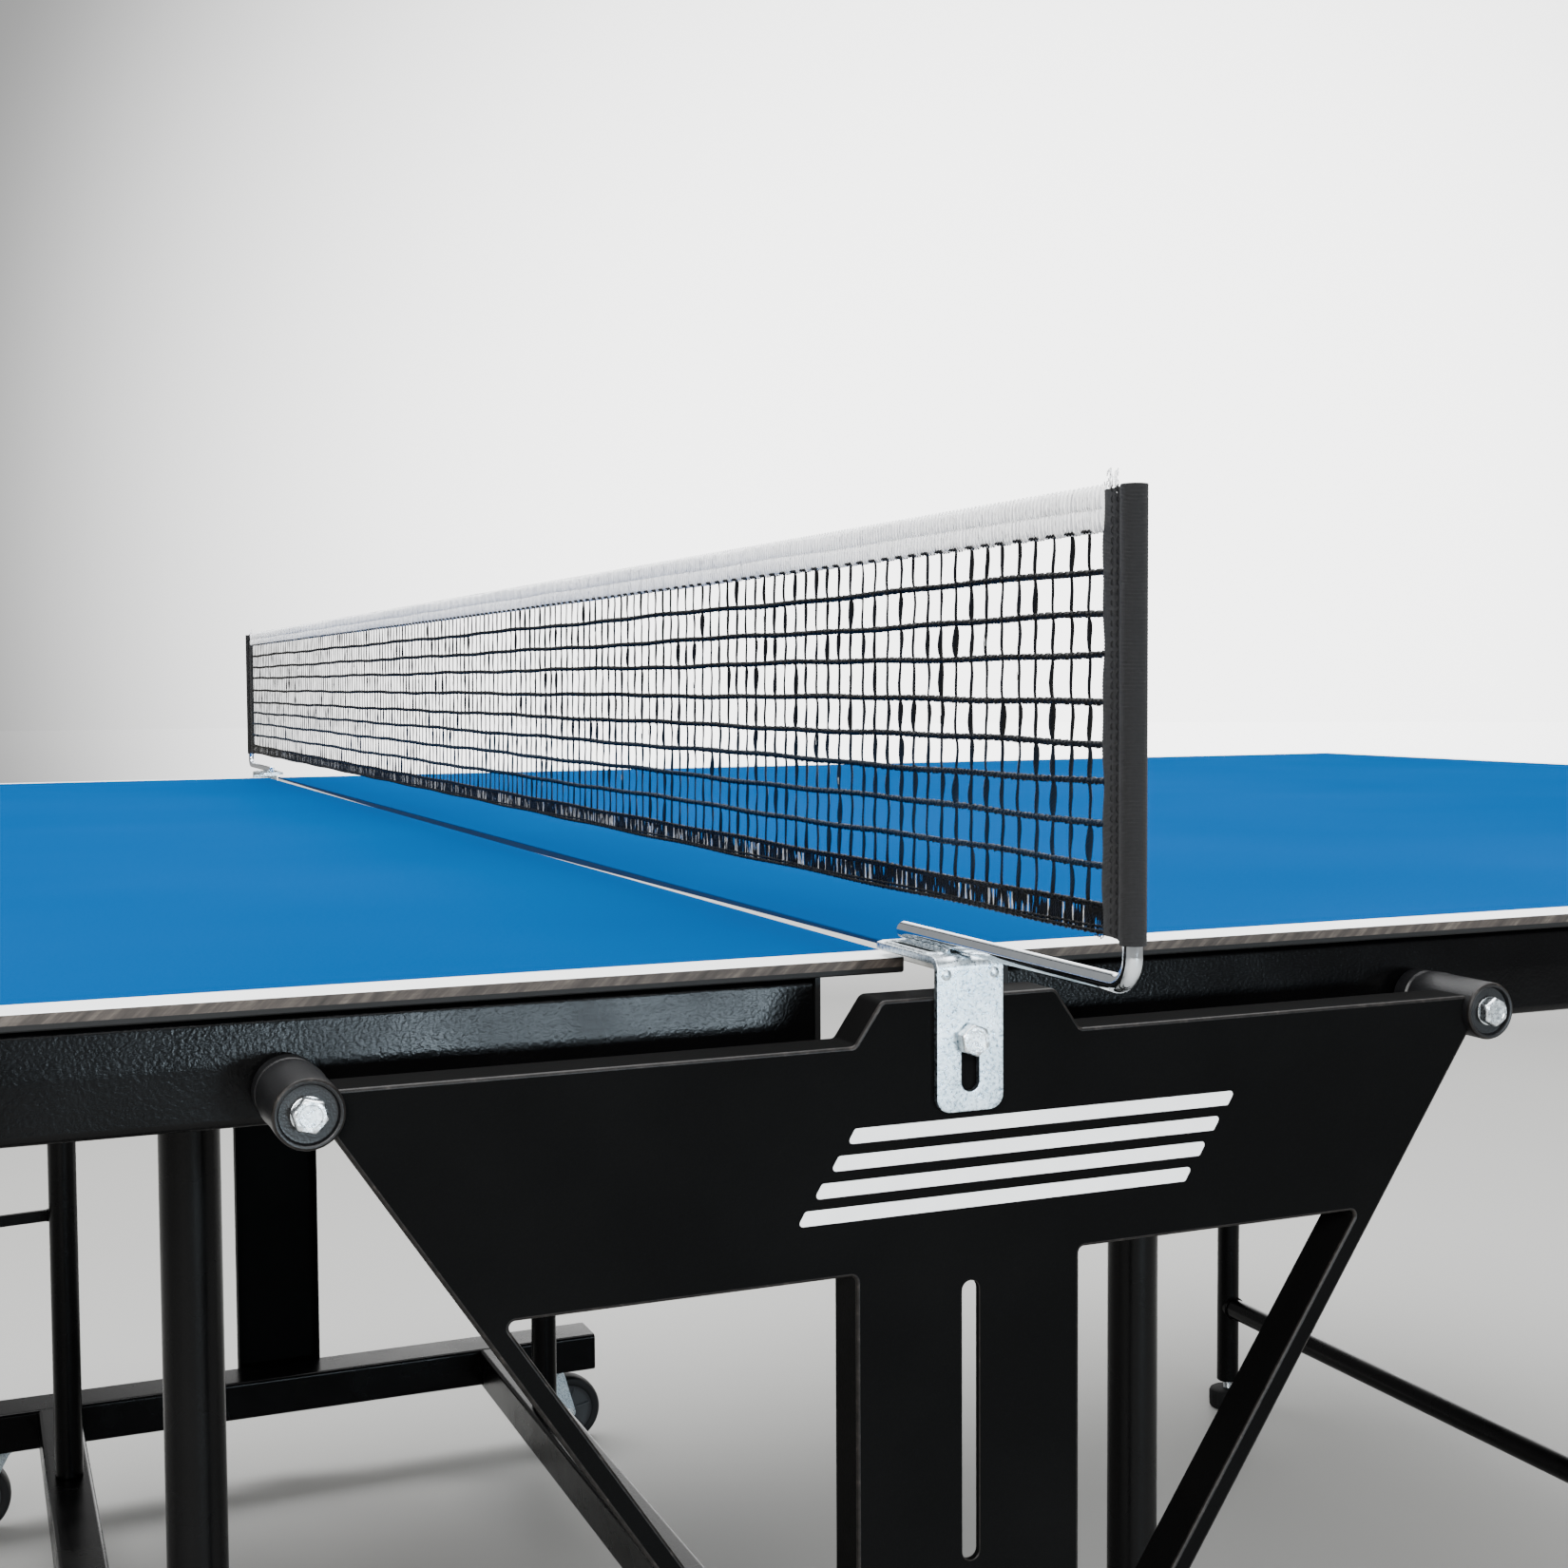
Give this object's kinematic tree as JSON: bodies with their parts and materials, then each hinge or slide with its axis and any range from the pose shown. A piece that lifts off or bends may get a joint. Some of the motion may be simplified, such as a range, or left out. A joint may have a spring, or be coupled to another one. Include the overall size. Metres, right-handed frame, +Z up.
{
  "type": "ping pong table",
  "caption": "Rollaway table tennis table: blue half tops on black steel frames fold upright about side plates, with a post net and wheeled base.",
  "frame": {"origin": "on the floor under the middle of the net", "axes": "+X along the table towards the right half, +Y across the table towards the far side, +Z up"},
  "size_m": [2.74, 1.8116, 0.9125],
  "materials": {
    "top_blue": "satin blue playing surface on a dark laminate sheet",
    "black_steel": "satin black powder coat with fine orange peel",
    "black_plate": "matt black moulded cover",
    "zinc": "mottled zinc plate",
    "chrome": "bright plated bar",
    "rubber": "black rubber",
    "black_plastic": "black plastic plug",
    "net_cord": "black knitted polymer cord",
    "white_tape": "white knitted tape"
  },
  "bodies": {
    "chassis": {"upright_left_near": "black_steel", "rest_pad_left_near": "rubber", "pivot_bolt_left_near": "zinc", "upright_left_far": "black_steel", "rest_pad_left_far": "rubber", "pivot_bolt_left_far": "zinc", "cross_rail_left": "black_steel", "upright_right_near": "black_steel", "rest_pad_right_near": "rubber", "pivot_bolt_right_near": "zinc", "upright_right_far": "black_steel", "rest_pad_right_far": "rubber", "pivot_bolt_right_far": "zinc", "cross_rail_right": "black_steel", "foot_rail_near": "black_steel", "side_plate_near": "black_plate", "bracket_bolt_near": "zinc", "foot_rail_far": "black_steel", "side_plate_far": "black_plate", "bracket_bolt_far": "zinc"},
    "half_left": {"board_left": "top_blue", "half_frame_left": "black_steel", "rail_plug_left_near": "black_plastic", "hinge_pin_left_near": "zinc", "rail_plug_left_far": "black_plastic", "hinge_pin_left_far": "zinc"},
    "leg_left": {"leg_frame_left": "black_steel"},
    "foot_left_near": {"leg_foot_left_near": "rubber"},
    "strut_left_near": {"link_strut_left_near": "black_steel"},
    "fork_left_near": {"caster_fork_left_near": "zinc"},
    "wheel_left_near": {"caster_wheel_left_near": "rubber"},
    "foot_left_far": {"leg_foot_left_far": "rubber"},
    "strut_left_far": {"link_strut_left_far": "black_steel"},
    "fork_left_far": {"caster_fork_left_far": "zinc"},
    "wheel_left_far": {"caster_wheel_left_far": "rubber"},
    "half_right": {"board_right": "top_blue", "half_frame_right": "black_steel", "rail_plug_right_near": "black_plastic", "hinge_pin_right_near": "zinc", "rail_plug_right_far": "black_plastic", "hinge_pin_right_far": "zinc"},
    "leg_right": {"leg_frame_right": "black_steel"},
    "foot_right_near": {"leg_foot_right_near": "rubber"},
    "strut_right_near": {"link_strut_right_near": "black_steel"},
    "fork_right_near": {"caster_fork_right_near": "zinc"},
    "wheel_right_near": {"caster_wheel_right_near": "rubber"},
    "foot_right_far": {"leg_foot_right_far": "rubber"},
    "strut_right_far": {"link_strut_right_far": "black_steel"},
    "fork_right_far": {"caster_fork_right_far": "zinc"},
    "wheel_right_far": {"caster_wheel_right_far": "rubber"},
    "net_set": {"net_mesh": "net_cord", "net_band": "net_cord", "net_tape": "white_tape", "net_bracket_near": "zinc", "net_rod_near": "chrome", "net_sleeve_near": "net_cord", "net_bracket_far": "zinc", "net_rod_far": "chrome", "net_sleeve_far": "net_cord"}
  },
  "joints": [
    {"name": "fold_left", "type": "hinge", "parent": "chassis", "child": "half_left", "pos_m": [-0.2207, 0, 0.731], "axis": [0, 1, 0], "range_deg": [0, 90]},
    {"name": "leg_fold_left", "type": "hinge", "parent": "half_left", "child": "leg_left", "pos_m": [-1.06, 0, 0.7025], "axis": [0, -1, 0], "range_deg": [0, 90]},
    {"name": "strut_swing_left_near", "type": "hinge", "parent": "chassis", "child": "strut_left_near", "pos_m": [-0.228, -0.57, 0.365], "axis": [0, 1, 0], "range_deg": [0, 90]},
    {"name": "foot_turn_left_near", "type": "hinge", "parent": "leg_left", "child": "foot_left_near", "pos_m": [-1.06, -0.545, 0], "axis": [0, 0, 1], "continuous": true},
    {"name": "caster_swivel_left_near", "type": "hinge", "parent": "chassis", "child": "fork_left_near", "pos_m": [-0.29, -0.7567, 0.084], "axis": [0, 0, 1], "continuous": true},
    {"name": "wheel_spin_left_near", "type": "hinge", "parent": "fork_left_near", "child": "wheel_left_near", "pos_m": [-0.312, -0.7567, 0.0375], "axis": [0, 1, 0], "continuous": true},
    {"name": "strut_swing_left_far", "type": "hinge", "parent": "chassis", "child": "strut_left_far", "pos_m": [-0.228, 0.57, 0.365], "axis": [0, 1, 0], "range_deg": [0, 90]},
    {"name": "foot_turn_left_far", "type": "hinge", "parent": "leg_left", "child": "foot_left_far", "pos_m": [-1.06, 0.545, 0], "axis": [0, 0, 1], "continuous": true},
    {"name": "caster_swivel_left_far", "type": "hinge", "parent": "chassis", "child": "fork_left_far", "pos_m": [-0.29, 0.7567, 0.084], "axis": [0, 0, 1], "continuous": true},
    {"name": "wheel_spin_left_far", "type": "hinge", "parent": "fork_left_far", "child": "wheel_left_far", "pos_m": [-0.312, 0.7567, 0.0375], "axis": [0, 1, 0], "continuous": true},
    {"name": "fold_right", "type": "hinge", "parent": "chassis", "child": "half_right", "pos_m": [0.2207, 0, 0.731], "axis": [0, -1, 0], "range_deg": [0, 90]},
    {"name": "leg_fold_right", "type": "hinge", "parent": "half_right", "child": "leg_right", "pos_m": [1.06, 0, 0.7025], "axis": [0, 1, 0], "range_deg": [0, 90]},
    {"name": "strut_swing_right_near", "type": "hinge", "parent": "chassis", "child": "strut_right_near", "pos_m": [0.228, -0.57, 0.365], "axis": [0, -1, 0], "range_deg": [0, 90]},
    {"name": "foot_turn_right_near", "type": "hinge", "parent": "leg_right", "child": "foot_right_near", "pos_m": [1.06, -0.545, 0], "axis": [0, 0, 1], "continuous": true},
    {"name": "caster_swivel_right_near", "type": "hinge", "parent": "chassis", "child": "fork_right_near", "pos_m": [0.29, -0.7567, 0.084], "axis": [0, 0, 1], "continuous": true},
    {"name": "wheel_spin_right_near", "type": "hinge", "parent": "fork_right_near", "child": "wheel_right_near", "pos_m": [0.312, -0.7567, 0.0375], "axis": [0, 1, 0], "continuous": true},
    {"name": "strut_swing_right_far", "type": "hinge", "parent": "chassis", "child": "strut_right_far", "pos_m": [0.228, 0.57, 0.365], "axis": [0, -1, 0], "range_deg": [0, 90]},
    {"name": "foot_turn_right_far", "type": "hinge", "parent": "leg_right", "child": "foot_right_far", "pos_m": [1.06, 0.545, 0], "axis": [0, 0, 1], "continuous": true},
    {"name": "caster_swivel_right_far", "type": "hinge", "parent": "chassis", "child": "fork_right_far", "pos_m": [0.29, 0.7567, 0.084], "axis": [0, 0, 1], "continuous": true},
    {"name": "wheel_spin_right_far", "type": "hinge", "parent": "fork_right_far", "child": "wheel_right_far", "pos_m": [0.312, 0.7567, 0.0375], "axis": [0, 1, 0], "continuous": true},
    {"name": "net_height", "type": "slide", "parent": "chassis", "child": "net_set", "axis": [0, 0, 1], "range_m": [0, 0.0144]}
  ],
  "couplings": [
    {"joint": "leg_fold_left", "follows": "fold_left", "ratio": 1},
    {"joint": "strut_swing_left_near", "follows": "fold_left", "ratio": 1},
    {"joint": "strut_swing_left_far", "follows": "fold_left", "ratio": 1},
    {"joint": "leg_fold_right", "follows": "fold_right", "ratio": 1},
    {"joint": "strut_swing_right_near", "follows": "fold_right", "ratio": 1},
    {"joint": "strut_swing_right_far", "follows": "fold_right", "ratio": 1}
  ]
}
